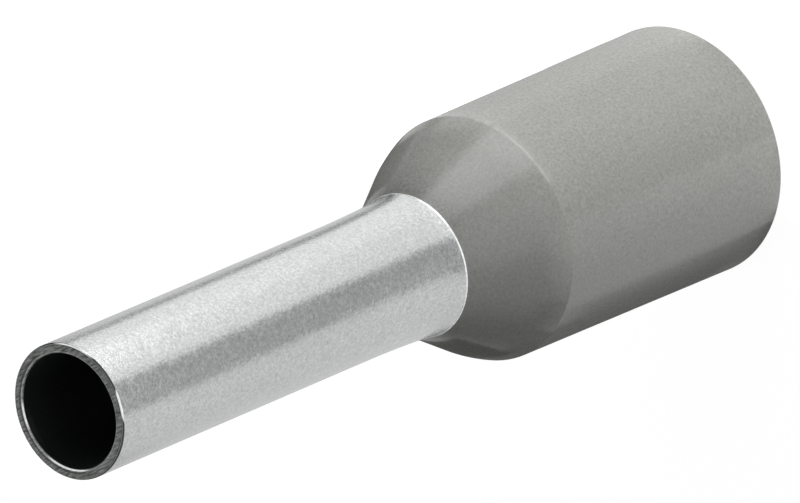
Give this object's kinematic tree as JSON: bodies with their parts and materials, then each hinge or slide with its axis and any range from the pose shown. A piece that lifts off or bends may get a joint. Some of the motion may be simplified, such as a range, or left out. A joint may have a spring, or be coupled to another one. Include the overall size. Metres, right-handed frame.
{
  "type": "insulated wire ferrule",
  "caption": "Insulated end sleeve for a stranded wire: a thin tin-plated tube with a flared end, held in a grey plastic collar with a conical shoulder.",
  "frame": {"origin": "centre of the collar's rear face, where the wire goes in and which the part stands on", "axes": "+Z along the axis, from the collar's rear face to the metal sleeve's open tip; the part is round about it, so +X and +Y are any two directions square to it"},
  "size_m": [0.006, 0.006, 0.0219],
  "materials": {
    "tin_plate": "matte tin plating on copper",
    "collar_plastic": "fine-grained grey polypropylene"
  },
  "bodies": {
    "root": {"metal_sleeve": "tin_plate", "plastic_collar": "collar_plastic"}
  },
  "joints": []
}
